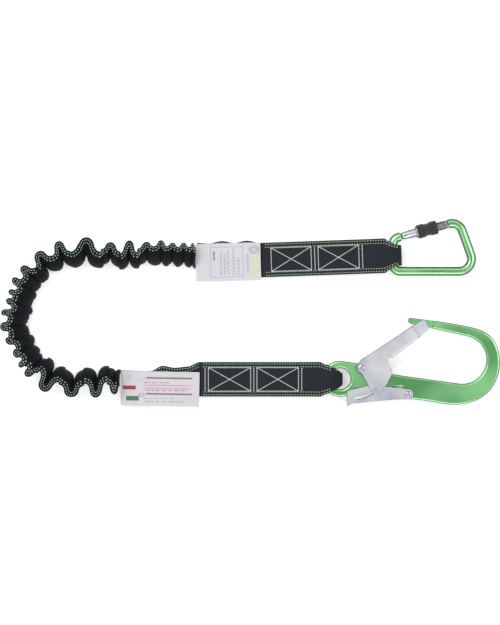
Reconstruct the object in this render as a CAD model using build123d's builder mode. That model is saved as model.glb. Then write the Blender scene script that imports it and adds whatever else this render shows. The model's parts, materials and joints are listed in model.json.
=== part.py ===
from build123d import *
import math
import os

# Energy-absorbing lanyard lying flat.  +Z is up, the connectors' middle plane is z = 0,
# and the origin is the centre of the scaffold hook's round bow.

# ---------------------------------------------------------------- driving dimensions (mm)
RUN_GAP = 0.05          # radial running clearance of a pin in its hole
PLATE_GAP = 0.15        # side clearance between sliding plates

# scaffold hook
BOW_R = 31.2            # inner radius of the round bow, for tubes up to 60 mm across
HOOK_T = 12.0           # thickness of the forged body
HOOK_ROUND = 3.0        # edge rounding of the forged body
ARM_SLOPE = 12.5        # the nose arm falls towards the bow by this many degrees
SPINE_SLOPE = 8.0       # the spine falls towards the bow by this many degrees
EYE = (-159.3, -24.7)
EYE_R = 23.3
EYE_HOLE_R = 13.9
NOSE_T = 8.0            # the nose is thinned so that the gate's tip can straddle it
NOSE_START_X = -38.0
GATE_PIVOT = (-131.7, -10.8)
GATE_RIVET_R = 2.5
GATE_PIN = (-113.5, -39.7)
GATE_PIN_R = 2.0
LATCH_PIVOT = (-71.1, -44.6)
LATCH_RIVET_R = 2.0
SHEET = 1.5             # stamped steel sheet of the gate and the latch
SPRING_POCKET_R = 8.5
SPRING_POCKET_DEPTH = 2.0
GATE_OPEN = -36.0       # full opening of the gate, degrees about +Z
LATCH_RATIO = 0.1       # the latch turns this much for each degree of the gate
SLOT_GAP = 0.2          # radial play of the cross pin in the latch slot
SLOT_OVERRUN = 8.0      # the slot runs on past the pin's travel by this many degrees

# carabiner
ROD_R = 6.0
BAR_X = -90.3           # centre line of the short side, which the upper loop holds
BASE_Y = 115.0          # centre line of the long base
GATE_ANGLE = 14.8
GATE_LINE = (-79.3, 160.4)
FAR_SIDE_ANGLE = -70.2
FAR_SIDE = (1.25, 163.2)
HINGE_PIN_R = 1.5
SPRING_BORE_R = 2.2
HINGE_T = 4.5           # hinge pin, measured along the gate's axis from GATE_LINE
BARREL_R = 5.5
BARREL_END = 61.5
NOSE_T0 = 62.5
THREAD_R = 5.9
THREAD_START = 41.0
THREAD_END = 59.0
THREAD_PITCH = 2.0
SLEEVE_START = 21.5
SLEEVE_LENGTH = 26.2
SLEEVE_R = 9.0
SLEEVE_WAIST_R = 7.8
BUSH_BORE_R = 6.0
BUSH_R = 7.2

# webbing
WEB_W = 45.0
PLY = 3.2               # one flattened ply of the tubular webbing
UPPER_BAR = (BAR_X, 135.5)
LOWER_BAR = (-178.0, -25.4)
END_SLOPE = 2.0         # both sewn ends lie at this many degrees to X
SEWN_LENGTH_UPPER = 170.7
SEWN_LENGTH_LOWER = 162.7
TAIL_LENGTH_UPPER = 254.0
TAIL_LENGTH_LOWER = 266.0
BOX_HALF = 15.2         # half height of the stitched boxes
THREAD_W = 0.9
THREAD_H = 0.5

# gathered webbing
PLEATS_START = (-351.0, 127.2)
RUN_STEP = 24.5         # length of one pleat along the straight runs
CURVE_STEP = 26.2       # and round the bend
PLEAT_LIMB = 17.0       # straight part of a pleat, across the lanyard
TUBE_T = 4.6
TUBE_WALL = 1.1
TUBE_H = 34.0
TUBE_LIFT = 4.6         # the gathered part stands higher than the connectors
CORE_T = 1.8
CORE_H = 27.0
CURVE_PLEATS = 5        # pleats in each quarter of the bend
JOIN_GAP = 0.4

os.makedirs("parts", exist_ok=True)


def finish(builder, label):
    """Name a finished piece and write it to its own file."""
    builder.part.label = label
    export_step(builder.part, f"parts/{label}.step")


def turned(point, centre, degrees):
    """A point of the XY plane turned about a centre."""
    a = math.radians(degrees)
    dx = point[0] - centre[0]
    dy = point[1] - centre[1]
    return (
        centre[0] + dx * math.cos(a) - dy * math.sin(a),
        centre[1] + dx * math.sin(a) + dy * math.cos(a),
    )


def on_circle(centre, radius, degrees):
    a = math.radians(degrees)
    return (centre[0] + radius * math.cos(a), centre[1] + radius * math.sin(a))


# ================================================================ scaffold hook
bow_low = on_circle((0, 0), BOW_R, -90 - SPINE_SLOPE)
bow_high = on_circle((0, 0), BOW_R, 90 - ARM_SLOPE)
spine_start_x = -98.0
spine_top = (spine_start_x, bow_low[1] + (bow_low[0] - spine_start_x) * math.tan(math.radians(SPINE_SLOPE)))
nose_end_x = -70.9
nose_low = (nose_end_x, bow_high[1] + (bow_high[0] - nose_end_x) * math.tan(math.radians(ARM_SLOPE)))
nose_high = (nose_end_x, 54.9)
bow_outer = [
    (-29.0, 49.7), (3.0, 44.3), (36.0, 31.0), (48.5, -2.0), (33.0, -42.6), (-9.0, -58.4), (-42.3, -54.2),
]
tongue_r = 5.9
tongue_foot = on_circle(LATCH_PIVOT, tongue_r, -98)
tongue_side = (LATCH_PIVOT[0] - tongue_r, LATCH_PIVOT[1])
underside_y = -35.2
eye_low = on_circle(EYE, EYE_R, -33)
boss_top = (GATE_PIVOT[0], GATE_PIVOT[1] + 5.4)
boss_distance = math.dist(boss_top, EYE)
boss_angle = math.degrees(math.atan2(boss_top[1] - EYE[1], boss_top[0] - EYE[0]))
eye_high = on_circle(EYE, EYE_R, boss_angle + math.degrees(math.acos(EYE_R / boss_distance)))
shoulder = (-117.0, -9.0)

with BuildPart() as hook_body:
    with BuildSketch(Plane.XY.offset(-HOOK_T / 2)) as hook_outline:
        with BuildLine():
            Spline(nose_high, *bow_outer, tongue_foot, tangents=[(1, -0.1), (-1, 0.141)])
            ThreePointArc(tongue_foot, on_circle(LATCH_PIVOT, tongue_r, 220), tongue_side)
            Line(tongue_side, (tongue_side[0], underside_y))
            Line((tongue_side[0], underside_y), eye_low)
            ThreePointArc(eye_low, (EYE[0] - EYE_R, EYE[1]), eye_high)
            Line(eye_high, boss_top)
            Line(boss_top, shoulder)
            Line(shoulder, spine_top)
            Line(spine_top, bow_low)
            ThreePointArc(bow_low, (BOW_R, 0), bow_high)
            Line(bow_high, nose_low)
            Line(nose_low, nose_high)
        make_face()
        with Locations(EYE):
            Circle(EYE_HOLE_R, mode=Mode.SUBTRACT)
        for corner, radius in (
            ((tongue_side[0], underside_y), 3.0),
            (eye_low, 5.0),
            (boss_top, 8.0),
            (shoulder, 12.0),
            (spine_top, 12.0),
            (nose_low, 3.2),
            (nose_high, 3.2),
        ):
            fillet(hook_outline.vertices().sort_by_distance(corner)[0], radius)
    extrude(amount=HOOK_T)
    flat_faces = hook_body.faces().filter_by(Axis.Z)
    fillet(flat_faces.edges(), HOOK_ROUND)
    # spring pockets on both faces, round the gate's pivot
    for side in (1, -1):
        pocket_plane = Plane.XY.offset(side * (HOOK_T / 2 - SPRING_POCKET_DEPTH))
        with BuildSketch(pocket_plane):
            with Locations(GATE_PIVOT):
                Circle(SPRING_POCKET_R)
        extrude(amount=side * 2 * SPRING_POCKET_DEPTH, mode=Mode.SUBTRACT)
        # the nose is thinner than the rest
        with BuildSketch(Plane.XY.offset(side * NOSE_T / 2)):
            with Locations((NOSE_START_X - 25, 50)):
                Rectangle(50, 30)
        extrude(amount=side * HOOK_T, mode=Mode.SUBTRACT)
    with Locations((*GATE_PIVOT, HOOK_T / 2)):
        Hole(GATE_RIVET_R)
    with Locations((*LATCH_PIVOT, HOOK_T / 2)):
        Hole(LATCH_RIVET_R)
finish(hook_body, "hook_body")

# ---------------------------------------------------------------- latch lever
latch_in = HOOK_T / 2 + PLATE_GAP
latch_out = latch_in + SHEET


def pin_in_latch(gate_degrees):
    """Where the gate's cross pin stands in the latch, with the gate turned."""
    pin = turned(GATE_PIN, GATE_PIVOT, gate_degrees)
    return turned(pin, LATCH_PIVOT, -gate_degrees * LATCH_RATIO)


slot_end = GATE_OPEN - SLOT_OVERRUN
latch_tab_x = -150.2
latch_points = [
    (-77.4, -37.0),
    (-98.2, -34.6),
    (-123.4, -33.6),
    (-143.9, -38.4),
    (latch_tab_x, -40.8),
    (latch_tab_x, -60.2),
    (-143.9, -56.8),
    (-113.5, -53.6),
    (-81.3, -51.2),
]
ear_r = 6.7
ear_top = on_circle(LATCH_PIVOT, ear_r, 105)
ear_foot = on_circle(LATCH_PIVOT, ear_r, -95)

with BuildPart() as latch_lever:
    for side in (1, -1):
        with BuildSketch(Plane.XY.offset(side * latch_in)) as latch_cheek:
            with BuildLine():
                Polyline(ear_top, *latch_points, ear_foot)
                ThreePointArc(ear_foot, (LATCH_PIVOT[0] + ear_r, LATCH_PIVOT[1]), ear_top)
            make_face()
            fillet(latch_cheek.vertices().group_by(Axis.X)[0], 1.5)
            with Locations(LATCH_PIVOT):
                Circle(LATCH_RIVET_R + RUN_GAP, mode=Mode.SUBTRACT)
            slot_line = ThreePointArc(
                pin_in_latch(0), pin_in_latch(slot_end / 2), pin_in_latch(slot_end), mode=Mode.PRIVATE
            )
            SlotArc(slot_line, 2 * (GATE_PIN_R + SLOT_GAP), mode=Mode.SUBTRACT)
        extrude(amount=side * SHEET)
    # the back joins the cheeks along the lower edge, and the thumb tab closes the free end
    with BuildSketch(Plane.XY.offset(-latch_out)):
        with BuildLine():
            Polyline((-149.4, -59.8), (-143.9, -56.8), (-113.5, -53.6), (-84.0, -51.3),
                     (-84.0, -49.8), (-113.5, -52.1), (-143.7, -55.3), (-148.7, -58.0), close=True)
        make_face()
        with Locations((latch_tab_x + SHEET / 2, -56.1)):
            Rectangle(SHEET, 7.6)
    extrude(amount=2 * latch_out)
finish(latch_lever, "latch_lever")

# ---------------------------------------------------------------- gate
cheek_in = latch_out + PLATE_GAP
cheek_out = cheek_in + SHEET
tip_in = NOSE_T / 2 + 0.6
tip_out = tip_in + SHEET
arm_start = (-131.0, 0.2)
arm_top = (-56.6, 49.3)
tip_top = (-50.2, 52.4)
tip_low = (-43.2, 40.6)
arm_low = (-56.6, 28.7)
arm_root = (-91.1, 2.0)
arm_dir = Vector(arm_low[0] - arm_root[0], arm_low[1] - arm_root[1], 0).normalized()
lip_run = 4.5           # width of the bent lip along the arm's lower edge
lip_drop = 1.5          # how far the lip bends in
joggle = 17.0           # the tip is pinched in over this length
step_back = 1.6         # the step down to the tip starts this far back along the arm
step_on = 0.6
# the arm stops square across, where the pinched tip starts
arm_across = arm_dir.rotate(Axis.Z, 90)
cut_low = Vector(*tip_low, 0) - arm_dir * joggle
top_dir = Vector(arm_top[0] - arm_start[0], arm_top[1] - arm_start[1], 0).normalized()
to_top_edge = (Vector(*arm_start, 0) - cut_low).cross(top_dir).Z / arm_across.cross(top_dir).Z
cut_high = cut_low + arm_across * to_top_edge

with BuildPart() as hook_gate:
    for side in (1, -1):
        # broad cheek and arm
        with BuildSketch(Plane.XY.offset(side * cheek_in)) as cheek:
            with BuildLine():
                Polyline(
                    (-137.4, -7.6), arm_start, arm_top, tip_top, tip_low, arm_low, arm_root,
                    (-96.1, 4.0), (-98.5, 0.1), (-97.0, -5.2), (-92.3, -13.4), (-92.3, -18.5),
                    (-98.5, -30.9), (-107.0, -42.6), (-113.2, -46.2), (-117.8, -42.8),
                    (-125.8, -27.2), (-131.5, -17.4), (-137.6, -13.6), close=True,
                )
            make_face()
            fillet(cheek.vertices().filter_by_position(Axis.X, -140, -90), 1.6)
            with Locations(GATE_PIVOT):
                Circle(GATE_RIVET_R + RUN_GAP, mode=Mode.SUBTRACT)
            with Locations(GATE_PIN):
                Circle(GATE_PIN_R, mode=Mode.SUBTRACT)
            # the pinched tip and the bent lip are made apart
            with BuildLine():
                Polyline(
                    tuple(cut_low - arm_across * 8)[:2],
                    tuple(cut_low + arm_across * 25)[:2],
                    tuple(cut_low + arm_across * 25 + arm_dir * 30)[:2],
                    tuple(cut_low - arm_across * 8 + arm_dir * 30)[:2],
                    close=True,
                )
            make_face(mode=Mode.SUBTRACT)
            lip_in = arm_across * lip_run
            with BuildLine():
                Polyline(
                    arm_root,
                    tuple(Vector(*arm_root, 0) + lip_in)[:2],
                    tuple(Vector(*arm_low, 0) + lip_in)[:2],
                    tuple(Vector(*arm_low, 0) - lip_in)[:2],
                    tuple(Vector(*arm_root, 0) - lip_in)[:2],
                    close=True,
                )
            make_face(mode=Mode.SUBTRACT)
        extrude(amount=side * SHEET)
        # bent lip: a slanted strip that runs along the arm's lower edge
        lip_plane = Plane(
            origin=(*arm_root, 0), x_dir=arm_across, z_dir=arm_dir
        )
        lip_length = (Vector(*arm_low, 0) - Vector(*arm_root, 0)).length
        with BuildSketch(lip_plane):
            with BuildLine():
                z_out = side * cheek_out
                z_in = side * cheek_in
                drop = side * lip_drop
                sign = -1 if lip_plane.y_dir.Z < 0 else 1
                Polyline(
                    (lip_run, sign * z_out), (0, sign * (z_out - drop)),
                    (0, sign * (z_in - drop)), (lip_run, sign * z_in), close=True,
                )
            make_face()
        extrude(amount=lip_length)
        # pinched tip
        with BuildSketch(Plane.XY.offset(side * tip_in)) as tip:
            with BuildLine():
                Polyline(arm_top, tip_top, tip_low, arm_low,
                         tuple(Vector(*arm_low, 0) - arm_dir * step_back)[:2],
                         tuple(cut_high - arm_dir * step_back)[:2], tuple(cut_high)[:2], close=True)
            make_face()
            fillet(tip.vertices().sort_by_distance(tip_top)[0], 2.5)
            fillet(tip.vertices().sort_by_distance(tip_low)[0], 2.5)
        extrude(amount=side * SHEET)
        # the wall that steps from the arm in to the tip
        step_low = cut_low - arm_dir * step_back
        step_high = cut_high - arm_dir * step_back
        with BuildSketch(Plane.XY.offset(side * tip_in)):
            with BuildLine():
                Polyline(
                    tuple(step_low)[:2], tuple(step_high)[:2],
                    tuple(cut_high + arm_dir * step_on)[:2], tuple(cut_low + arm_dir * step_on)[:2],
                    close=True,
                )
            make_face()
        extrude(amount=side * (cheek_out - tip_in))
    # outer back of the channel, which stops short of the nose
    with BuildSketch(Plane.XY.offset(-cheek_out)):
        back_in = top_dir.rotate(Axis.Z, -90) * SHEET
        back_from = Vector(*arm_start, 0) + top_dir * 5
        back_to = back_from + top_dir * 58
        with BuildLine():
            Polyline(
                tuple(back_from)[:2], tuple(back_to)[:2],
                tuple(back_to + back_in)[:2], tuple(back_from + back_in)[:2], close=True,
            )
        make_face()
    extrude(amount=2 * cheek_out)
    # inner stop that closes on the nose
    with BuildSketch(Plane.XY.offset(-tip_out)):
        stop_dir = Vector(tip_low[0] - arm_low[0], tip_low[1] - arm_low[1], 0).normalized()
        stop_in = stop_dir.rotate(Axis.Z, 90) * SHEET
        stop_from = Vector(*arm_low, 0)
        stop_to = stop_from + stop_dir * 15
        with BuildLine():
            Polyline(
                tuple(stop_from)[:2], tuple(stop_to)[:2],
                tuple(stop_to + stop_in)[:2], tuple(stop_from + stop_in)[:2], close=True,
            )
        make_face()
    extrude(amount=2 * tip_out)
finish(hook_gate, "hook_gate")


# ---------------------------------------------------------------- rivets and pins of the hook
def rivet(centre, shank_r, head_r, inner_z, head_h):
    """A rivet along Z with a low head, rounded at its rim, on each end."""
    with BuildPart() as piece:
        with BuildSketch(Plane.XY.offset(-inner_z)):
            with Locations(centre):
                Circle(shank_r)
        extrude(amount=2 * inner_z)
        for side in (1, -1):
            with BuildSketch(Plane.XY.offset(side * inner_z)):
                with Locations(centre):
                    Circle(head_r)
            extrude(amount=side * head_h)
        rims = piece.edges().filter_by(GeomType.CIRCLE).sort_by(Axis.Z)
        fillet([rims[0], rims[-1]], head_h * 0.8)
    return piece


finish(rivet(GATE_PIVOT, GATE_RIVET_R, 4.6, cheek_out + PLATE_GAP, 2.2), "gate_rivet")
finish(rivet(GATE_PIN, GATE_PIN_R, 2.9, cheek_out, 1.2), "gate_cross_pin")
finish(rivet(LATCH_PIVOT, LATCH_RIVET_R, 4.3, latch_out + PLATE_GAP, 1.9), "latch_rivet")

# ---------------------------------------------------------------- springs of the hook
spring_wire_r = 0.5
with BuildPart() as gate_springs:
    for side in (1, -1):
        coil_start = side * (HOOK_T / 2 - SPRING_POCKET_DEPTH + spring_wire_r + 0.15)
        with BuildLine() as coil:
            Helix(pitch=1.2, height=2.4, radius=4.8, center=(*GATE_PIVOT, coil_start), direction=(0, 0, side))
        with BuildSketch(Plane(origin=coil.line @ 0, z_dir=coil.line % 0)):
            Circle(spring_wire_r)
        sweep(is_frenet=True)
finish(gate_springs, "gate_springs")

with BuildPart() as latch_spring:
    latch_spring_x = -95.0
    with BuildLine() as coil:
        Helix(pitch=1.9, height=12.9, radius=2.6, center=(latch_spring_x, -49.3, 0), direction=(0, 1, 0))
    with BuildSketch(Plane(origin=coil.line @ 0, z_dir=coil.line % 0)):
        Circle(0.4)
    sweep(is_frenet=True)
finish(latch_spring, "latch_spring")

# ================================================================ carabiner
gate_u = (math.cos(math.radians(GATE_ANGLE)), math.sin(math.radians(GATE_ANGLE)))


def along_gate(t, v=0.0):
    """A point t along the gate's axis and v outwards from it."""
    return (
        GATE_LINE[0] + t * gate_u[0] - v * gate_u[1],
        GATE_LINE[1] + t * gate_u[1] + v * gate_u[0],
    )


# corners of the frame's centre line, where its straight sides would meet
far_u = (math.cos(math.radians(FAR_SIDE_ANGLE)), math.sin(math.radians(FAR_SIDE_ANGLE)))
short_corner = along_gate((BAR_X - GATE_LINE[0]) / gate_u[0])
low_corner = (BAR_X, BASE_Y)
base_corner = (FAR_SIDE[0] + far_u[0] * (BASE_Y - FAR_SIDE[1]) / far_u[1], BASE_Y)
cross = gate_u[0] * far_u[1] - gate_u[1] * far_u[0]
top_t = ((FAR_SIDE[0] - GATE_LINE[0]) * far_u[1] - (FAR_SIDE[1] - GATE_LINE[1]) * far_u[0]) / cross
top_corner = along_gate(top_t)
shoulder_t = HINGE_T - BARREL_R - 0.3

hinge_point = along_gate(HINGE_T)
tongue_half = 2.3
fork_half = tongue_half + 0.15
blade_half = 1.5
nose_slot_half = 1.8
catch_t = 58.3
catch_r = 1.0

with BuildPart() as carabiner_frame:
    with BuildLine() as frame_line:
        FilletPolyline(
            along_gate(shoulder_t), short_corner, low_corner, base_corner, top_corner, along_gate(NOSE_T0),
            radius=(9.4, 9.4, 16.0, 13.5),
        )
    with BuildSketch(Plane(origin=(*along_gate(shoulder_t), 0), z_dir=frame_line.line % 0)):
        Circle(ROD_R)
    sweep()
    # hinge tongue, rounded about the hinge pin
    with BuildSketch(Plane.XY.offset(-tongue_half)):
        with BuildLine():
            Polyline(
                along_gate(HINGE_T, 4.2), along_gate(shoulder_t - 1, 4.2),
                along_gate(shoulder_t - 1, -4.2), along_gate(HINGE_T, -4.2),
            )
            ThreePointArc(along_gate(HINGE_T, -4.2), along_gate(HINGE_T + 4.2), along_gate(HINGE_T, 4.2))
        make_face()
        with Locations(hinge_point):
            Circle(HINGE_PIN_R + RUN_GAP, mode=Mode.SUBTRACT)
    extrude(amount=2 * tongue_half)
    # nose blade with the notch that takes the catch pin
    with BuildSketch(Plane.XY.offset(-blade_half)):
        with BuildLine():
            Polyline(
                along_gate(NOSE_T0 + 1, 5.2), along_gate(catch_t - 2.6, 5.2), along_gate(catch_t - 3.2, 4.0),
                along_gate(catch_t - 3.2, -1.6),
                along_gate(catch_t - 1.25, -1.6),
                along_gate(catch_t - 1.25, 1.3),
                along_gate(catch_t + 1.25, 1.3),
                along_gate(catch_t + 1.25, -2.2),
                along_gate(NOSE_T0 + 1, -2.2),
                close=True,
            )
        make_face()
    extrude(amount=2 * blade_half)
finish(carabiner_frame, "carabiner_frame")

gate_axis_plane = Plane(origin=(*GATE_LINE, 0), x_dir=(*gate_u, 0), z_dir=(0, 0, 1))
gate_axis = Axis((*GATE_LINE, 0), (*gate_u, 0))
bore_end = 38.0

with BuildPart() as carabiner_gate:
    with BuildSketch(gate_axis_plane):
        with BuildLine():
            # half outline of the barrel: rounded hinge end, plain part, thread ridges, nose end
            ThreePointArc(
                (HINGE_T - BARREL_R, 0),
                (HINGE_T - BARREL_R * 0.7071, BARREL_R * 0.7071),
                (HINGE_T, BARREL_R),
            )
            ridge_points = [(HINGE_T, BARREL_R)]
            for ridge in range(int((THREAD_END - THREAD_START) / THREAD_PITCH)):
                ridge_t = THREAD_START + ridge * THREAD_PITCH
                ridge_points.append((ridge_t, BARREL_R - 0.5))
                ridge_points.append((ridge_t + THREAD_PITCH * 0.35, THREAD_R))
                ridge_points.append((ridge_t + THREAD_PITCH * 0.65, THREAD_R))
            ridge_points.append((THREAD_END, BARREL_R - 0.5))
            ridge_points.append((THREAD_END + 0.6, BARREL_R))
            ridge_points.append((BARREL_END - 0.8, BARREL_R))
            ridge_points.append((BARREL_END, BARREL_R - 0.8))
            ridge_points.append((BARREL_END, 0))
            Polyline(*ridge_points)
            Line((BARREL_END, 0), (HINGE_T - BARREL_R, 0))
        make_face()
    revolve(axis=gate_axis)
    # fork for the frame's tongue, and the slot for the nose blade
    fork_end = HINGE_T + 5.6
    with BuildSketch(gate_axis_plane.offset(-fork_half)):
        with Locations(((fork_end + HINGE_T - 7) / 2, 0)):
            Rectangle(fork_end - HINGE_T + 7, 14)
    extrude(amount=2 * fork_half, mode=Mode.SUBTRACT)
    nose_slot_start = catch_t - 4.0
    with BuildSketch(gate_axis_plane.offset(-nose_slot_half)):
        with Locations((nose_slot_start + 5, 0)):
            Rectangle(10, 14)
    extrude(amount=2 * nose_slot_half, mode=Mode.SUBTRACT)
    # spring bore
    with BuildSketch(Plane(origin=(*along_gate(fork_end - 1), 0), z_dir=(*gate_u, 0))):
        Circle(SPRING_BORE_R)
    extrude(amount=bore_end - fork_end + 1, mode=Mode.SUBTRACT)
    with BuildSketch(gate_axis_plane.offset(-8)):
        with Locations((HINGE_T, 0)):
            Circle(HINGE_PIN_R)
        with Locations((catch_t, 0)):
            Circle(catch_r)
    extrude(amount=16, mode=Mode.SUBTRACT)
finish(carabiner_gate, "carabiner_gate")


def cross_pin(centre, radius, half_length):
    """A plain pin along Z with chamfered ends."""
    with BuildPart() as piece:
        with BuildSketch(Plane.XY.offset(-half_length)):
            with Locations(centre):
                Circle(radius)
        extrude(amount=2 * half_length)
        chamfer(piece.edges().filter_by(GeomType.CIRCLE), 0.25)
    return piece


finish(cross_pin(hinge_point, HINGE_PIN_R, 5.4), "gate_hinge_pin")
finish(cross_pin(along_gate(catch_t), catch_r, 5.3), "gate_catch_pin")

plunger_start = HINGE_T + 4.2 + 0.3
with BuildPart() as gate_plunger:
    with BuildSketch(Plane(origin=(*along_gate(plunger_start), 0), z_dir=(*gate_u, 0))):
        Circle(SPRING_BORE_R - 0.1)
    extrude(amount=7.0)
    with BuildSketch(Plane(origin=(*along_gate(plunger_start + 7), 0), z_dir=(*gate_u, 0))):
        Circle(0.9)
    extrude(amount=3.0)
finish(gate_plunger, "gate_plunger")

with BuildPart() as gate_return_spring:
    spring_start = plunger_start + 7.0 + 0.5
    with BuildLine() as coil:
        Helix(
            pitch=1.8, height=bore_end - 0.5 - spring_start, radius=1.55,
            center=(*along_gate(spring_start), 0), direction=(*gate_u, 0),
        )
    with BuildSketch(Plane(origin=coil.line @ 0, z_dir=coil.line % 0)):
        Circle(0.35)
    sweep(is_frenet=True)
finish(gate_return_spring, "gate_return_spring")

sleeve_end = SLEEVE_START + SLEEVE_LENGTH
bush_end = SLEEVE_START + 18.0
grip_bore_r = BUSH_R + 0.1
mouth_r = 6.7
groove_r = 0.55

with BuildPart() as screw_sleeve_bush:
    with BuildSketch(gate_axis_plane):
        with BuildLine():
            Polyline(
                (SLEEVE_START - 1.9, BUSH_BORE_R), (SLEEVE_START - 1.9, 7.4), (SLEEVE_START - 1.4, 7.9),
                (SLEEVE_START - 0.2, 7.9), (SLEEVE_START - 0.2, BUSH_R), (bush_end, BUSH_R),
                (bush_end, BUSH_BORE_R), close=True,
            )
        make_face()
    revolve(axis=gate_axis)
finish(screw_sleeve_bush, "screw_sleeve_bush")

with BuildPart() as screw_sleeve_grip:
    with BuildSketch(gate_axis_plane):
        with BuildLine():
            Polyline(
                (SLEEVE_START, grip_bore_r), (SLEEVE_START, SLEEVE_R - 0.6), (SLEEVE_START + 0.8, SLEEVE_R),
                (SLEEVE_START + 8.6, SLEEVE_R), (SLEEVE_START + 10.2, SLEEVE_WAIST_R),
                (SLEEVE_START + 15.4, SLEEVE_WAIST_R), (SLEEVE_START + 17.0, SLEEVE_R),
                (sleeve_end - 0.8, SLEEVE_R), (sleeve_end, SLEEVE_R - 0.6), (sleeve_end, mouth_r),
                (bush_end + 0.2, mouth_r), (bush_end + 0.2, grip_bore_r), close=True,
            )
        make_face()
    revolve(axis=gate_axis)
    # grip grooves
    with BuildSketch(Plane(origin=(*along_gate(SLEEVE_START - 1), 0), z_dir=(*gate_u, 0))):
        with PolarLocations(SLEEVE_R + 0.15, 24):
            Circle(groove_r)
    extrude(amount=SLEEVE_LENGTH + 2, mode=Mode.SUBTRACT)
finish(screw_sleeve_grip, "screw_sleeve_grip")


# ================================================================ sewn ends
def end_plane(origin):
    """Plane of a sewn end: x runs along the webbing, away from the connector."""
    slope = math.radians(END_SLOPE)
    return Plane(origin=(*origin, 0), x_dir=(-math.cos(slope), -math.sin(slope), 0), z_dir=(0, 0, 1))


def loop_web(plane, half_gap, reach, sewn, tail, pocket_end, half_widths):
    """Webbing folded round a bar: two plies sewn together, of which the lower one runs on as the tail."""
    wall = 2.2
    side_plane = Plane(origin=plane.origin, x_dir=plane.x_dir, z_dir=plane.x_dir.cross(Vector(0, 0, 1)))
    top = half_gap + wall
    crown = 3.0
    with BuildPart() as piece:
        with BuildSketch(side_plane):
            with BuildLine():
                Spline((pocket_end + 6, PLY), (crown, top), tangents=[(-1, 0), (-1, 0)])
                Spline((crown, top), (-reach, 0), tangents=[(-1, 0), (0, -1)])
                Spline((-reach, 0), (crown, -top), tangents=[(0, -1), (1, 0)])
                Spline((crown, -top), (pocket_end + 6, -PLY), tangents=[(1, 0), (1, 0)])
                Polyline(
                    (pocket_end + 6, -PLY), (tail, -PLY), (tail, 0),
                    (sewn, 0), (sewn, PLY), (pocket_end + 6, PLY),
                )
            make_face()
            with BuildLine():
                Spline((pocket_end, 0), (crown, half_gap), tangents=[(-1, 0.1), (-1, 0)])
                Spline((crown, half_gap), (wall - reach, 0), tangents=[(-1, 0), (0, -1)])
                Spline((wall - reach, 0), (crown, -half_gap), tangents=[(0, -1), (1, 0)])
                Spline((crown, -half_gap), (pocket_end, 0), tangents=[(1, 0), (1, 0.1)])
            make_face(mode=Mode.SUBTRACT)
        extrude(amount=WEB_W / 2, both=True)
        with BuildSketch(plane.offset(-30)):
            with BuildLine():
                upper_edge = [(u, half) for u, half in half_widths]
                lower_edge = [(u, -half) for u, half in reversed(half_widths)]
                Polyline(
                    (tail + 1, WEB_W / 2), *upper_edge, *lower_edge, (tail + 1, -WEB_W / 2), close=True
                )
            make_face()
        extrude(amount=60, mode=Mode.INTERSECT)
    return piece


upper_plane = end_plane(UPPER_BAR)
lower_plane = end_plane(LOWER_BAR)
upper_widths = [(17.0, WEB_W / 2), (8.0, 15.5), (2.0, 13.0), (-6.5, 11.6), (-12.0, 11.0)]
lower_widths = [(1.0, WEB_W / 2), (-7.5, 10.6), (-16.0, 10.2), (-23.0, 5.5)]
upper_loop_web = loop_web(upper_plane, 6.5, 11.3, SEWN_LENGTH_UPPER, TAIL_LENGTH_UPPER, 30.0, upper_widths)
finish(upper_loop_web, "upper_loop_web")
lower_loop_web = loop_web(lower_plane, 8.0, 22.4, SEWN_LENGTH_LOWER, TAIL_LENGTH_LOWER, 26.0, lower_widths)
finish(lower_loop_web, "lower_loop_web")


def stitching(plane, boxes, bars):
    """Thread on both faces of a sewn end: boxes with crosses in them, and plain bars across."""
    with BuildPart() as piece:
        for side in (1, -1):
            with BuildSketch(plane.offset(side * (PLY + 0.05))):
                for near, far in boxes:
                    centre = (near + far) / 2
                    with Locations((centre, BOX_HALF), (centre, -BOX_HALF)):
                        Rectangle(far - near + THREAD_W, THREAD_W)
                    diagonal = math.hypot(far - near, 2 * BOX_HALF)
                    lean = math.degrees(math.atan2(2 * BOX_HALF, far - near))
                    with Locations(Location((centre, 0), lean), Location((centre, 0), -lean)):
                        Rectangle(diagonal, THREAD_W)
                for bar in bars:
                    with Locations((bar, 0)):
                        Rectangle(THREAD_W, 2 * BOX_HALF + THREAD_W)
            extrude(amount=side * THREAD_H)
    return piece


upper_boxes = [(44.4, 97.3), (106.4, 158.4)]
upper_bars = [39.8, 44.4, 97.3, 101.8, 106.4, 158.4]
lower_boxes = [(35.2, 89.2), (97.3, 152.3)]
lower_bars = [31.0, 35.2, 89.2, 93.2, 97.3, 152.3, 156.5]
finish(stitching(upper_plane, upper_boxes, upper_bars), "upper_stitching")
finish(stitching(lower_plane, lower_boxes, lower_bars), "lower_stitching")


# ---------------------------------------------------------------- labels
def label_leaf(centre, size, degrees):
    """A folded label: a thin closed leaf with rounded corners."""
    with BuildPart() as piece:
        with BuildSketch(Plane.XY.offset(0.3)):
            with Locations(Location(centre, degrees)):
                RectangleRounded(*size, 2.0)
        extrude(amount=1.2)
    return piece


finish(label_leaf((-304.5, 127.0), (84.5, 49.0), 1.5), "upper_label")
finish(label_leaf((-393.0, -37.8), (102.0, 45.0), -1.0), "lower_label")


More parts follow.
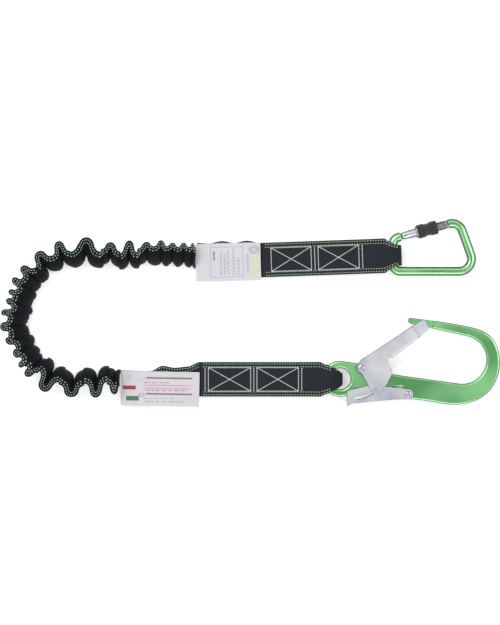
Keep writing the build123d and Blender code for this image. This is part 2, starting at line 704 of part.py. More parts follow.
# ================================================================ gathered webbing
def pleat_moves(start, heading, pleats, step, bend):
    """Lines and arcs of folded webbing, from the middle of one limb to the middle of another.

    heading is the lanyard's direction, and bend is how far that turns with each pleat, in degrees.
    """
    radius = step / 4
    half_limb = PLEAT_LIMB / 2
    pen = Vector(*start, 0)
    angle = heading - 90
    moves = []
    for fold in range(2 * pleats):
        moves.append(("line", pen, angle, half_limb))
        pen = pen + Vector(half_limb, 0, 0).rotate(Axis.Z, angle)
        turn = bend / 2 + (180 if fold % 2 == 0 else -180)
        moves.append(("arc", pen, angle, turn))
        middle = pen + Vector(radius, 0, 0).rotate(Axis.Z, angle + math.copysign(90, turn))
        pen = middle + (pen - middle).rotate(Axis.Z, turn)
        angle = angle + turn
        moves.append(("line", pen, angle, half_limb))
        pen = pen + Vector(half_limb, 0, 0).rotate(Axis.Z, angle)
    return moves, pen


def folded_strap(moves, step, section):
    """Sweep a section along a pleated line. section is a list of (thickness, height, mode)."""
    with BuildPart() as piece:
        with BuildLine() as fold:
            for index, (kind, pen, angle, amount) in enumerate(moves):
                lifted = pen + Vector(0, 0, TUBE_LIFT)
                direction = Vector(1, 0, 0).rotate(Axis.Z, angle)
                if kind == "arc":
                    JernArc(lifted, direction, step / 4, amount)
                else:
                    near = JOIN_GAP / 2 if index == 0 else 0
                    far = amount - (JOIN_GAP / 2 if index == len(moves) - 1 else 0)
                    Line(lifted + direction * near, lifted + direction * far)
        first = fold.line % 0
        with BuildSketch(Plane(origin=fold.line @ 0, x_dir=first.rotate(Axis.Z, 90), z_dir=first)):
            for thickness, height, mode in section:
                RectangleRounded(thickness, height, thickness * 0.45, mode=mode)
        sweep()
    return piece


tube_section = [
    (TUBE_T, TUBE_H, Mode.ADD),
    (TUBE_T - 2 * TUBE_WALL, TUBE_H - 4 * TUBE_WALL, Mode.SUBTRACT),
]
core_section = [(CORE_T, CORE_H, Mode.ADD)]

# each stretch: heading, number of pleats, pleat length, turn per pleat
quarter_bend = 90.0 / CURVE_PLEATS
stretches = [
    (176.6, 2, RUN_STEP, 0.0),
    (176.6, 4, RUN_STEP, 0.0),
    (180.0, CURVE_PLEATS, CURVE_STEP, quarter_bend),
    (270.0, CURVE_PLEATS, CURVE_STEP, quarter_bend),
    (0.0, 2, RUN_STEP, 0.0),
]
pleat_start = Vector(*PLEATS_START, 0)
for index, (heading, pleats, step, bend) in enumerate(stretches, start=1):
    moves, pleat_end = pleat_moves((pleat_start.X, pleat_start.Y), heading, pleats, step, bend)
    finish(folded_strap(moves, step, tube_section), f"crinkled_web_{index}")
    finish(folded_strap(moves, step, core_section), f"absorber_core_{index}")
    pleat_start = pleat_end
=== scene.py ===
"""Looks of the shock absorbing lanyard: webbing, stitching, labels, materials, light and camera.

Shapes are worked out in millimetres and turned into metres when a mesh is made.
The hardware is the CAD model's own. The webbing, threads and labels are made here.
"""
import json
import math
import random

import bpy
import numpy as np
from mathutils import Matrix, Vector


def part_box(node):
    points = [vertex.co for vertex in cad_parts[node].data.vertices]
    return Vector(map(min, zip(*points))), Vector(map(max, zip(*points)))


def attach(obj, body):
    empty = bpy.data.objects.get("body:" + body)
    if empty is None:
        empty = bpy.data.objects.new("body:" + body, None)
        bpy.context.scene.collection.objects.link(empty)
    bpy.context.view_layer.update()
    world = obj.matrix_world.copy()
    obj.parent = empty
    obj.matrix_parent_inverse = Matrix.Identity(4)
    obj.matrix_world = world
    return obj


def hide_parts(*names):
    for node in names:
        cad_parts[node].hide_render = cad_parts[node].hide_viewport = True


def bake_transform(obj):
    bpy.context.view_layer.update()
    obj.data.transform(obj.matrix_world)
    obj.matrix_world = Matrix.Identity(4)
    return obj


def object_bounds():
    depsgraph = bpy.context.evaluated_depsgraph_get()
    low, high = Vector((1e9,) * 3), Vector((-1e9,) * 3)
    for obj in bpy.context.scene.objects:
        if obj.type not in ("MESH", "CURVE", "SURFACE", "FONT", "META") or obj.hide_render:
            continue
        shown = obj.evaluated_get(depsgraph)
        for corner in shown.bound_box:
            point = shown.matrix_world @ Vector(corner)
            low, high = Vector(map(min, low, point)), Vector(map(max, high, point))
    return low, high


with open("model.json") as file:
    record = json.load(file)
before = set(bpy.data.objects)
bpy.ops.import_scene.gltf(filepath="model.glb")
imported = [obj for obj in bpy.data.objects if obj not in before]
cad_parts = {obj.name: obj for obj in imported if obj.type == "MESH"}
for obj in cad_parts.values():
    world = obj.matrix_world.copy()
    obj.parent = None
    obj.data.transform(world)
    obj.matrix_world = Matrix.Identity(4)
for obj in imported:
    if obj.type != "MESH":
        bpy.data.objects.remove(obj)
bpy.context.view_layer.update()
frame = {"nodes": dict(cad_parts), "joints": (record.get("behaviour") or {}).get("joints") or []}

# ------------------------------------------------------------------ driving sizes, in millimetres
MM = 0.001

WEB_HALF = 22.5             # half the webbing's width
PLY_T = 3.0                 # one thickness of sewn webbing
PLY_LIFT = 1.62             # middle of a ply above or below the sewn end's middle plane
LOOP_T = 2.1                # the webbing is squeezed where it rounds a bar
BAND_HALF = 15.2            # dark ribbed band in the middle of the webbing
RIB_PITCH = 2.4
RIB_HEIGHT = 0.13
ROW_INSETS = (2.4, 6.2)     # the two green thread rows, in from each edge
GREEN_PITCH = 3.4
GREEN_LENGTH = 1.8
GREEN_WIDTH = 1.0
GREEN_HEIGHT = 0.42
WHITE_PITCH = 3.1
WHITE_LENGTH = 2.6
WHITE_WIDTH = 1.25
WHITE_HEIGHT = 0.5
WHITE_SINK = 0.32           # how deep the box stitching pulls into the webbing
QUILT_DEPTH = 0.55          # how far the webbing is pulled in beside it
BOX_HALF = 15.3             # white box stitching, from the middle line
ROWS_START = -6.0           # the green rows go this far round a bar

GATHER_LOW = -11.8          # lower edge of the gathered webbing, just above the floor
GATHER_WIDTH = 41.0         # its width, measured over the curl
BEND_RADIUS = 83.2
BEND_CENTRE = (-498.0, 52.8)
RUN_SLOPE = 3.4             # upper run, in degrees
RUN_START = (-347.0, 126.9)
LOWER_RUN_END = -443.8


# ------------------------------------------------------------------ small helpers
def between(stops, place):
    """Smooth value at place, from (place, value) stops in rising order."""
    if place <= stops[0][0]:
        return stops[0][1]
    for (here, low), (there, high) in zip(stops, stops[1:]):
        if place <= there:
            share = (place - here) / (there - here)
            return low + (high - low) * share * share * (3 - 2 * share)
    return stops[-1][1]


class Skin:
    """Collects the points and faces of one mesh, with weave coordinates (along, across) in millimetres."""

    def __init__(self):
        self.points = []
        self.faces = []
        self.weave = []
        self.paint = []

    def tube(self, rings, weave, paint=0):
        """A closed skin over rings that all have the same number of points."""
        first = len(self.points)
        size = len(rings[0])
        for ring, marks in zip(rings, weave):
            self.points.extend(ring)
            self.weave.extend(marks)
        for row in range(len(rings) - 1):
            base = first + row * size
            for step in range(size):
                following = (step + 1) % size
                above = base + size
                self.faces.append((base + step, base + following, above + following, above + step))
                self.paint.append(paint)
        self.faces.append(tuple(first + step for step in reversed(range(size))))
        last = first + (len(rings) - 1) * size
        self.faces.append(tuple(last + step for step in range(size)))
        self.paint += [paint, paint]

    def slab(self, corners, normal, thickness, paint=0):
        """A thin closed plate standing on a flat outline."""
        first = len(self.points)
        count = len(corners)
        self.points.extend(corners)
        self.points.extend(corner + normal * thickness for corner in corners)
        self.weave.extend((corner.x, corner.y) for corner in corners * 2)
        self.faces.append(tuple(first + step for step in reversed(range(count))))
        above = first + count
        self.faces.append(tuple(above + step for step in range(count)))
        for step in range(count):
            following = (step + 1) % count
            self.faces.append((first + step, first + following, above + following, above + step))
        self.paint += [paint] * (count + 2)

    def build(self, name, *materials, smooth=True):
        mesh = bpy.data.meshes.new(name)
        mesh.from_pydata([Vector(point) * MM for point in self.points], [], self.faces)
        layer = mesh.uv_layers.new(name="weave")
        corners = [self.weave[loop.vertex_index] for loop in mesh.loops]
        layer.data.foreach_set("uv", [value for corner in corners for value in corner])
        for material in materials:
            mesh.materials.append(material)
        mesh.polygons.foreach_set("material_index", self.paint)
        mesh.polygons.foreach_set("use_smooth", [smooth] * len(mesh.polygons))
        mesh.update()
        piece = bpy.data.objects.new(name, mesh)
        bpy.context.scene.collection.objects.link(piece)
        return piece


def flat_section(half, thickness, steps):
    """Points (across, lift) round a flat band with rounded edges, with the lift as a share of 1."""
    radius = min(thickness / 2, half / 3)
    reach = half - radius
    face = [reach - 2 * reach * step / steps for step in range(steps + 1)]
    turns = [math.radians(angle) for angle in (45, 90, 135)]
    upper = [(across, 1.0) for across in face]
    near = [(-reach - radius * math.sin(turn), math.cos(turn)) for turn in turns]
    lower = [(-across, -1.0) for across in face]
    far = [(reach + radius * math.sin(turn), -math.cos(turn)) for turn in turns]
    return upper + near + lower + far


STITCH_PROFILE = ((0.0, 0.3), (0.14, 0.8), (0.5, 1.0), (0.86, 0.8), (1.0, 0.3))


def add_stitch(skin, start, stop, normal, width, height):
    """One visible length of thread: a bead that dips into the cloth at both ends."""
    along = stop - start
    side = along.cross(normal).normalized()
    rings = []
    for share, size in STITCH_PROFILE:
        middle = start + along * share + normal * height * (size - 0.9)
        ring = []
        for step in range(6):
            turn = math.tau * step / 6
            ring.append(middle + side * (math.cos(turn) * width / 2 * size)
                        + normal * (math.sin(turn) * height * size))
        rings.append(ring)
    skin.tube(rings, [[(share * along.length, 0.0)] * 6 for share, _ in STITCH_PROFILE])


# ------------------------------------------------------------------ materials
class Recipe:
    """Short calls that build one procedural material."""

    def __init__(self, name):
        self.material = bpy.data.materials.new(name)
        self.material.use_nodes = True
        self.tree = self.material.node_tree
        self.shader = self.tree.nodes["Principled BSDF"]
        self.place = self.node("ShaderNodeTexCoord").outputs["Object"]

    def node(self, kind, inputs=None, **settings):
        made = self.tree.nodes.new(kind)
        for key, value in settings.items():
            setattr(made, key, value)
        for key, value in (inputs or {}).items():
            if isinstance(value, bpy.types.NodeSocket):
                self.tree.links.new(value, made.inputs[key])
            else:
                made.inputs[key].default_value = value
        return made

    def sums(self, operation, first, second=0.0):
        return self.node("ShaderNodeMath", {0: first, 1: second}, operation=operation).outputs[0]

    def noise(self, scale, detail=3.0, place=None, stretch=None):
        place = place or self.place
        if stretch:
            place = self.node("ShaderNodeMapping", {"Vector": place, "Scale": stretch}).outputs[0]
        made = self.node("ShaderNodeTexNoise", {"Vector": place, "Scale": scale, "Detail": detail})
        return made.outputs["Fac"]

    def blend(self, share, low, high):
        made = self.node("ShaderNodeMix", {0: share, 6: low, 7: high}, data_type="RGBA")
        return made.outputs[2]

    def spread(self, value, low, high, new_low=0.0, new_high=1.0):
        limits = {"From Min": low, "From Max": high, "To Min": new_low, "To Max": new_high}
        return self.node("ShaderNodeMapRange", {"Value": value, **limits}).outputs[0]

    def edges(self, radius):
        """Mask that is 1 where the surface turns sharply: it marks edge wear on anodised metal and a
        painted dark outline on the other metals.
        """
        rounded = self.node("ShaderNodeBevel", {"Radius": radius}, samples=4).outputs[0]
        plain = self.node("ShaderNodeNewGeometry").outputs["Normal"]
        made = self.node("ShaderNodeVectorMath", {0: rounded, 1: plain}, operation="DOT_PRODUCT")
        return self.spread(made.outputs["Value"], 1.0, 0.86)

    def shoulder(self, base, pale, dark):
        """Painted light on rounded edges: a painted highlight as a paler shoulder where the surface starts
        to turn away, then a painted dark outline in place of the dark horizon's reflection.
        """
        facing = self.node("ShaderNodeLayerWeight", {"Blend": 0.5}).outputs["Facing"]
        rising = self.spread(facing, 0.01, 0.07)
        falling = self.spread(facing, 0.14, 0.40)
        return self.blend(falling, self.blend(rising, base, pale), dark)

    def bump(self, height, strength, distance):
        made = self.node("ShaderNodeBump", {"Height": height, "Strength": strength, "Distance": distance})
        self.tree.links.new(made.outputs[0], self.shader.inputs["Normal"])

    def finish(self, **inputs):
        for key, value in inputs.items():
            name = key.replace("_", " ")
            if isinstance(value, bpy.types.NodeSocket):
                self.tree.links.new(value, self.shader.inputs[name])
            else:
                self.shader.inputs[name].default_value = value
        return self.material


def metal(name, colour, wear_and_highlight, rough, painted_light_spread=0.12, grain=(1, 1, 1)):
    """Metal with a faint grain and uneven polish, broad patches of painted highlight and painted shade,
    painted highlights on rounded shoulders and painted dark outlines.
    """
    paint = Recipe(name)
    # Paler and darker copies of the colour for broad patches of painted highlight and painted shade, and a
    # dark copy for painted outlines.
    dark = tuple(channel * (1 - painted_light_spread) for channel in colour) + (1,)
    light = tuple(min(1, channel * (1 + painted_light_spread)) for channel in colour) + (1,)
    outline = tuple(channel * 0.16 for channel in colour) + (1,)
    patches = paint.spread(paint.noise(26.0, 1.0), 0.34, 0.66)
    painted_patches = paint.blend(patches, dark, light)
    # Painted highlight on rounded shoulders, then a painted dark outline.
    shaded = paint.shoulder(painted_patches, wear_and_highlight + (1,), outline)
    # Painted dark outline along sharp edges, standing in for their shade.
    base = paint.blend(paint.sums("MULTIPLY", paint.edges(0.0011), 0.85), shaded, outline)
    grain_noise = paint.noise(900.0, 3.0, stretch=grain)
    rolling = paint.sums("MULTIPLY", paint.noise(30.0, 0.0), 9.0)
    paint.bump(paint.sums("ADD", rolling, paint.sums("MULTIPLY", grain_noise, 0.06)), 0.5, 0.0003)
    smudges = paint.spread(paint.noise(60.0, 5.0), 0.3, 0.7, rough - 0.05, rough + 0.08)
    return paint.finish(Base_Color=base, Metallic=1.0, Roughness=smudges)


def anodised(name, colour, pale):
    """Dyed anodised aluminium: coloured metal under a hard clear skin, with broad patches of painted light
    and painted shade, a painted highlight shoulder and painted dark outline on its rounded edges, fine
    scuffs and edge wear.
    """
    paint = Recipe(name)
    # A darker and a paler copy for broad patches of painted shade and painted highlight.
    deep = tuple(channel * 0.78 for channel in colour) + (1,)
    bright = tuple(low + 0.42 * (high - low) for low, high in zip(colour, pale)) + (1,)
    cloud = paint.blend(paint.spread(paint.noise(17.0, 0.0), 0.36, 0.64), deep, bright)
    # Painted highlight shoulder and painted dark outline on rounded edges.
    rim = paint.shoulder(cloud, pale + (1,), tuple(channel * 0.18 for channel in colour) + (1,))
    scuffs = paint.spread(paint.noise(240.0, 6.0, stretch=(1, 6, 1)), 0.68, 0.8)
    scuffs_over_painted_rim = paint.blend(paint.sums("MULTIPLY", scuffs, 0.12), rim, pale + (1,))
    # Real edge wear: paler on sharp edges, laid over the painted rim.
    wear_and_highlight = paint.blend(paint.sums("MULTIPLY", paint.edges(0.0006), 0.35), scuffs_over_painted_rim, pale + (1,))
    rolling = paint.sums("MULTIPLY", paint.noise(16.0, 0.0), 16.0)
    grain = paint.sums("MULTIPLY", paint.noise(1300.0, 2.0), 0.05)
    paint.bump(paint.sums("ADD", rolling, grain), 0.5, 0.0003)
    rough = paint.spread(paint.noise(70.0, 5.0), 0.3, 0.7, 0.24, 0.34)
    return paint.finish(Base_Color=wear_and_highlight, Metallic=0.82, Roughness=rough, Coat_Weight=0.25,
                        Coat_Roughness=0.15)


def webbing(name, painted_light_level, shine):
    """Polyester webbing: navy black ribbed middle, dark green herringbone edges, fuzzy sheen; every colour
    is scaled by one level, which gives a painted lit copy and a painted shaded copy.
    """

    # Scales a colour by this copy's level of painted light and shade.
    def tint(red, green, blue):
        return red * painted_light_level, green * painted_light_level, blue * painted_light_level, 1

    paint = Recipe(name)
    weave = paint.node("ShaderNodeUVMap", uv_map="weave").outputs[0]
    parts = paint.node("ShaderNodeSeparateXYZ", {"Vector": weave}).outputs
    along, across = parts[0], parts[1]
    outward = paint.sums("ABSOLUTE", across)
    edge = paint.spread(outward, BAND_HALF + 0.6, BAND_HALF + 1.4)
    ribs = paint.sums("SINE", paint.sums("MULTIPLY", along, math.tau / RIB_PITCH))
    yarns = paint.sums("SINE", paint.sums("MULTIPLY", across, math.tau / 0.9))
    slant = paint.sums("ADD", paint.sums("MULTIPLY", along, math.tau / 1.5),
                       paint.sums("MULTIPLY", outward, math.tau / 1.1))
    herringbone = paint.sums("SINE", slant)
    middle_height = paint.sums("ADD", paint.sums("MULTIPLY", ribs, 0.7),
                               paint.sums("MULTIPLY", yarns, 0.3))
    height = paint.node("ShaderNodeMix", {0: edge, 2: middle_height, 3: herringbone}).outputs[0]
    paint.bump(height, 0.55, 0.00035)
    fuzz = paint.noise(1.6, 5.0, place=weave)
    navy = paint.blend(fuzz, tint(0.003, 0.004, 0.006), tint(0.010, 0.013, 0.018))
    lit_ribs = paint.blend(paint.spread(ribs, -0.2, 1.0, 0.0, 0.4), navy, tint(0.024, 0.028, 0.036))
    dark_green = paint.blend(fuzz, tint(0.006, 0.014, 0.009), tint(0.014, 0.032, 0.019))
    colour = paint.blend(edge, lit_ribs, dark_green)
    return paint.finish(Base_Color=colour, Roughness=0.62, Sheen_Weight=0.2 * shine, Sheen_Roughness=0.4,
                        Specular_IOR_Level=shine)


def thread(name, light, dark):
    """Sewing thread: twisted strands and a soft shine."""
    paint = Recipe(name)
    twist = paint.node("ShaderNodeUVMap", uv_map="weave").outputs[0]
    along = paint.node("ShaderNodeSeparateXYZ", {"Vector": twist}).outputs[0]
    strands = paint.sums("SINE", paint.sums("MULTIPLY", along, 7.0))
    shade = paint.sums("ADD", paint.sums("MULTIPLY", strands, 0.25), paint.noise(300.0, 2.0))
    paint.bump(strands, 0.3, 0.0001)
    return paint.finish(Base_Color=paint.blend(shade, dark + (1,), light + (1,)), Roughness=0.6,
                        Sheen_Weight=0.2)


def plastic(name, colour, rough, grain_scale, grain_depth):
    """Moulded plastic or printed film with a fine grain."""
    paint = Recipe(name)
    light = tuple(min(1, channel * 1.15 + 0.004) for channel in colour) + (1,)
    base = paint.blend(paint.noise(45.0, 4.0), colour + (1,), light)
    paint.bump(paint.noise(grain_scale, 4.0), 0.35, grain_depth)
    smudges = paint.spread(paint.noise(90.0, 4.0), 0.3, 0.7, rough - 0.06, rough + 0.08)
    return paint.finish(Base_Color=base, Roughness=smudges)


def hatched(name):
    """Printed pattern of slanting lines on the end of the upper label."""
    paint = Recipe(name)
    waves = paint.node("ShaderNodeTexWave", {"Vector": paint.place, "Scale": 190.0, "Distortion": 6.0,
                                             "Detail": 2.0}, bands_direction="DIAGONAL").outputs["Fac"]
    ink = paint.blend(paint.spread(waves, 0.35, 0.65), (0.78, 0.80, 0.66, 1), (0.42, 0.50, 0.30, 1))
    return paint.finish(Base_Color=ink, Roughness=0.5)


# In each call below the second colour is the painted highlight on rounded edges; for the anodised green it
# also colours its scuffs and edge wear.
GREEN = anodised("green_anodised", (0.160, 0.520, 0.170), (0.42, 0.82, 0.42))
SILVER = metal("silver_alloy", (0.72, 0.75, 0.78), (0.90, 0.91, 0.93), 0.30)
STAMPED = metal("stamped_steel", (0.82, 0.84, 0.94), (0.97, 0.98, 1.00), 0.26, painted_light_spread=0.18, grain=(1, 5, 1))
RIVET = metal("rivet_steel", (0.66, 0.68, 0.72), (0.90, 0.91, 0.94), 0.22)
PIN = metal("steel_pin", (0.52, 0.53, 0.55), (0.80, 0.80, 0.82), 0.28)
SPRING = metal("spring_steel", (0.34, 0.34, 0.36), (0.60, 0.60, 0.62), 0.34)
SLEEVE = plastic("black_sleeve", (0.018, 0.018, 0.020), 0.42, 1400.0, 0.00015)
# A painted lit copy of the webbing for the taut sewn ends, and a painted shaded copy, darker for the shade
# in the gathered folds.
WEB = webbing("green_edged_webbing", 1.15, 0.26)
SHADED_LOOSE_WEB = webbing("gathered_webbing", 0.62, 0.10)
CORE = plastic("absorber_core", (0.55, 0.52, 0.42), 0.8, 600.0, 0.0004)
GREEN_THREAD = thread("green_thread", (0.84, 1.00, 0.84), (0.24, 0.37, 0.25))
WHITE_THREAD = thread("white_thread", (0.86, 0.88, 0.88), (0.52, 0.56, 0.58))
LABEL = plastic("label_white", (0.57, 0.55, 0.58), 0.55, 700.0, 0.0002)
PLAIN_INKS = {
    "label_ink": (0.16, 0.16, 0.18), "pale_ink": (0.42, 0.41, 0.44), "red_ink": (0.30, 0.03, 0.05),
    "pink_ink": (0.52, 0.26, 0.28), "green_ink": (0.05, 0.17, 0.07),
}
INKS = [plastic(name, colour, 0.6, 900.0, 0.0001) for name, colour in PLAIN_INKS.items()]
INKS.append(hatched("hatch_ink"))

HARDWARE = {
    GREEN: ("hook_body", "carabiner_frame"),
    SILVER: ("carabiner_gate", "screw_sleeve_bush"),
    STAMPED: ("hook_gate", "latch_lever"),
    RIVET: ("gate_rivet", "latch_rivet", "gate_cross_pin"),
    PIN: ("gate_hinge_pin", "gate_catch_pin", "gate_plunger"),
    SPRING: ("gate_springs", "latch_spring", "gate_return_spring"),
    SLEEVE: ("screw_sleeve_grip",),
}


def dress_hardware():
    """Gives every CAD piece that stays its own finish."""
    for material, names in HARDWARE.items():
        for name in names:
            mesh = frame["nodes"][name].data
            mesh.materials.clear()
            mesh.materials.append(material)


# ------------------------------------------------------------------ sewn ends
class SewnEnd:
    """Webbing folded round a bar and sewn down on itself.

    Places on it are (reach, lift): reach runs from the bar towards the gathered webbing.
    """

    def __init__(self, name, swing_joint, slope, sizes, body, flexes_with=None):
        joint = next(joint for joint in frame["joints"] if joint["name"] == swing_joint)
        self.name = name
        self.body = body
        self.flexes_with = flexes_with
        self.origin = Vector(joint["pos_m"]) / MM
        turn = math.radians(slope)
        self.away = Vector((-math.cos(turn), -math.sin(turn), 0))
        self.side = Vector((math.sin(turn), -math.cos(turn), 0))
        self.up = Vector((0, 0, 1))
        self.sewn, self.tail, self.pocket = sizes["sewn"], sizes["tail"], sizes["pocket"]
        self.loop_lift, self.loop_reach = sizes["loop_lift"], sizes["loop_reach"]
        self.widths = sizes["widths"]
        self.drift = sizes["drift"]
        self.lines = sizes["lines"]
        self.path = self.trace()

    def at(self, reach, across, lift):
        sideways = across + between(self.drift, reach)
        return self.origin + self.away * reach + self.side * sideways + self.up * lift

    def half(self, reach):
        return between(self.widths, reach)

    def opening_lift(self, reach):
        """Height of a ply's middle between the bar and the first stitches."""
        return between(((0, self.loop_lift), (self.pocket, PLY_LIFT)), reach)

    def thickness(self, reach):
        return between(((0, LOOP_T), (self.pocket, PLY_T)), reach)

    def follow(self, piece):
        """The webbing is attached to its body. A loose loop tips a little with the connector in it; such a
        loop is only baked in place here.
        """
        if self.flexes_with:
            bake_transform(piece)
        else:
            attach(piece, self.body)

    def trace(self):
        """Middle line of the webbing from the tail, round the bar, to the cut end on top."""
        step = RIB_PITCH / 4
        ply = []
        reach = self.pocket
        while reach < self.tail:
            ply.append((reach, PLY_LIFT))
            reach += step
        lower = [(reach, -lift) for reach, lift in reversed(ply)]
        upper = [(reach, lift) for reach, lift in ply if reach < self.sewn]
        opening = []
        count = int(self.pocket / step)
        for index in range(1, count + 1):
            reach = self.pocket * (1 - index / count)
            opening.append((reach, self.opening_lift(reach)))
        count = int(math.pi * (self.loop_lift + self.loop_reach) / 2 / step)
        crown = []
        for index in range(1, count):
            turn = math.pi * index / count
            crown.append((-self.loop_reach * math.sin(turn), -self.loop_lift * math.cos(turn)))
        down = [(reach, -lift) for reach, lift in opening]
        up = list(reversed(opening))
        return lower + down + crown + up + upper

    def quilting(self, reach, across):
        """How far the sewn plies are pulled in beside the white stitching, from 0 to 1."""
        depth = 0.0
        for (x0, y0), (x1, y1) in self.lines:
            length2 = (x1 - x0) ** 2 + (y1 - y0) ** 2
            share = max(0.0, min(1.0, ((reach - x0) * (x1 - x0) + (across - y0) * (y1 - y0)) / length2))
            gap2 = (reach - x0 - share * (x1 - x0)) ** 2 + (across - y0 - share * (y1 - y0)) ** 2
            depth = max(depth, math.exp(-gap2 / 2.2))
        return depth

    def make_web(self):
        skin = Skin()
        rings = []
        weave = []
        travelled = 0.0
        for index, (reach, lift) in enumerate(self.path):
            before = self.path[max(index - 1, 0)]
            after = self.path[min(index + 1, len(self.path) - 1)]
            heading = math.atan2(after[1] - before[1], after[0] - before[0])
            travelled += math.dist(before, (reach, lift)) if index else 0.0
            half = self.half(reach)
            thickness = self.thickness(reach)
            rib = RIB_HEIGHT * math.cos(math.tau * travelled / RIB_PITCH)
            ring = []
            marks = []
            for across, level in flat_section(half, thickness, 22):
                woven = across * WEB_HALF / half
                swell = thickness / 2 * level
                if abs(woven) < BAND_HALF:
                    swell += rib * level
                swell -= 0.25 * level * math.exp(-((abs(woven) - BAND_HALF - 0.9) / 0.8) ** 2)
                if self.pocket < reach < self.sewn:
                    swell -= QUILT_DEPTH * level * self.quilting(reach, across)
                rolled = 0.05 * (half - WEB_HALF) * (across / half) ** 2 if reach < self.pocket else 0.0
                point = self.at(reach - math.sin(heading) * swell, across, lift + math.cos(heading) * swell)
                ring.append(point + self.up * rolled * (1 if lift > 0 else -1))
                marks.append((travelled, woven))
            rings.append(ring)
            weave.append(marks)
        skin.tube(rings, weave)
        piece = skin.build(self.name + "_webbing", WEB)
        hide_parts(self.name + "_loop_web")
        self.follow(piece)

    def make_green_rows(self):
        """The contrast thread rows along both edges, on the outer faces and on the tail."""
        skin = Skin()
        self.add_rows(skin, 1, ROWS_START, self.sewn - 2, self.face_lift)
        self.add_rows(skin, -1, ROWS_START, self.tail - 3, self.face_lift)
        self.add_rows(skin, 1, self.sewn + 2, self.tail - 3, lambda reach: PLY_T / 2 - PLY_LIFT)
        piece = skin.build(self.name + "_edge_thread", GREEN_THREAD)
        self.follow(piece)

    def face_lift(self, reach):
        """Height of the outer face above the middle plane."""
        if reach >= self.pocket:
            return PLY_LIFT + PLY_T / 2
        if reach >= 0:
            return self.opening_lift(reach) + self.thickness(reach) / 2
        share = min(1.0, -reach / (self.loop_reach + LOOP_T / 2))
        return (self.loop_lift + LOOP_T / 2) * math.sqrt(max(0.0, 1 - share * share))

    def add_rows(self, skin, face, start, stop, lift):
        for inset in ROW_INSETS:
            for side in (-1, 1):
                reach = start
                while reach + GREEN_LENGTH < stop:
                    ends = []
                    for place in (reach, reach + GREEN_LENGTH):
                        half = self.half(place)
                        across = side * (half - inset * half / WEB_HALF)
                        ends.append(self.at(place, across, face * (lift(place) + 0.12)))
                    add_stitch(skin, ends[0], ends[1], self.up * face, GREEN_WIDTH, GREEN_HEIGHT)
                    reach += GREEN_PITCH

    def make_box_stitching(self):
        """White box and cross stitching through both plies, seen on both faces."""
        skin = Skin()
        lift = PLY_LIFT + PLY_T / 2 - WHITE_SINK
        for face in (1, -1):
            for start, stop in self.lines:
                length = math.dist(start, stop)
                count = max(1, round(length / WHITE_PITCH))
                for index in range(count):
                    first = (index + 0.08) / count
                    last = first + WHITE_LENGTH / WHITE_PITCH / count
                    ends = []
                    for share in (first, last):
                        reach = start[0] + (stop[0] - start[0]) * share
                        across = start[1] + (stop[1] - start[1]) * share
                        ends.append(self.at(reach, across, face * lift))
                    add_stitch(skin, ends[0], ends[1], self.up * face, WHITE_WIDTH, WHITE_HEIGHT)
        piece = skin.build(self.name + "_box_thread", WHITE_THREAD)
        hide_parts(self.name + "_stitching")
        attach(piece, self.body)

    def make(self):
        self.make_web()
        self.make_green_rows()
        self.make_box_stitching()


def box_lines(boxes, bars):
    """Stitch lines of the sewn boxes: long sides, diagonals, and the bars across."""
    lines = []
    for near, far in boxes:
        for side in (-BOX_HALF, BOX_HALF):
            lines.append(((near, side), (far, side)))
        lines.append(((near, -BOX_HALF), (far, BOX_HALF)))
        lines.append(((near, BOX_HALF), (far, -BOX_HALF)))
    for bar in bars:
        lines.append(((bar, -BOX_HALF), (bar, BOX_HALF)))
    return lines


UPPER_END = {
    "sewn": 170.0, "tail": 254.0, "pocket": 30.0, "loop_lift": 7.6, "loop_reach": 10.2,
    "widths": ((-11, 13.6), (-6.5, 13.6), (-2, 14.8), (3, 17.4), (12, WEB_HALF)),
    "drift": ((171, 0.0), (190, -3.6), (205, -1.0), (222, -4.2), (238, -1.5), (254, -3.0)),
    "lines": box_lines(((44.4, 97.3), (106.4, 158.4)), (39.8, 44.4, 97.3, 101.8, 106.4, 158.4)),
}
LOWER_END = {
    "sewn": 162.7, "tail": 266.0, "pocket": 26.0, "loop_lift": 9.1, "loop_reach": 21.3,
    "widths": ((-23, 4.0), (-20.5, 8.6), (-16, 11.8), (-9, 15.2), (-2, 18.8), (8, WEB_HALF)),
    "drift": ((163, 0.0), (180, 6.0), (196, 7.5), (212, 5.0), (228, 12.0), (266, 11.0)),
    "lines": box_lines(((35.2, 89.2), (97.3, 152.3)), (31.0, 35.2, 89.2, 93.2, 97.3, 152.3, 156.5)),
}


# ------------------------------------------------------------------ gathered webbing
class GatherPath:
    """Middle line of the gathered webbing: upper run, half-round bend, lower run."""

    def __init__(self):
        slope = math.radians(180 - RUN_SLOPE)
        self.run_heading = Vector((math.cos(slope), math.sin(slope), 0))
        self.run_length = (RUN_START[0] - BEND_CENTRE[0]) / math.cos(math.radians(RUN_SLOPE))
        self.bend_length = math.pi * BEND_RADIUS
        self.length = self.run_length + self.bend_length + LOWER_RUN_END - BEND_CENTRE[0]

    def frame_at(self, place):
        """Point, heading and outward direction at a distance along the path."""
        if place < self.run_length:
            heading = self.run_heading
            point = Vector((*RUN_START, 0)) + heading * place
        elif place < self.run_length + self.bend_length:
            turn = math.pi / 2 + (place - self.run_length) / BEND_RADIUS
            heading = Vector((-math.sin(turn), math.cos(turn), 0))
            point = Vector((*BEND_CENTRE, 0)) + Vector((math.cos(turn), math.sin(turn), 0)) * BEND_RADIUS
        else:
            heading = Vector((1, 0, 0))
            beyond = place - self.run_length - self.bend_length
            point = Vector((BEND_CENTRE[0] + beyond, BEND_CENTRE[1] - BEND_RADIUS, 0))
        return point, heading, Vector((heading.y, -heading.x, 0))


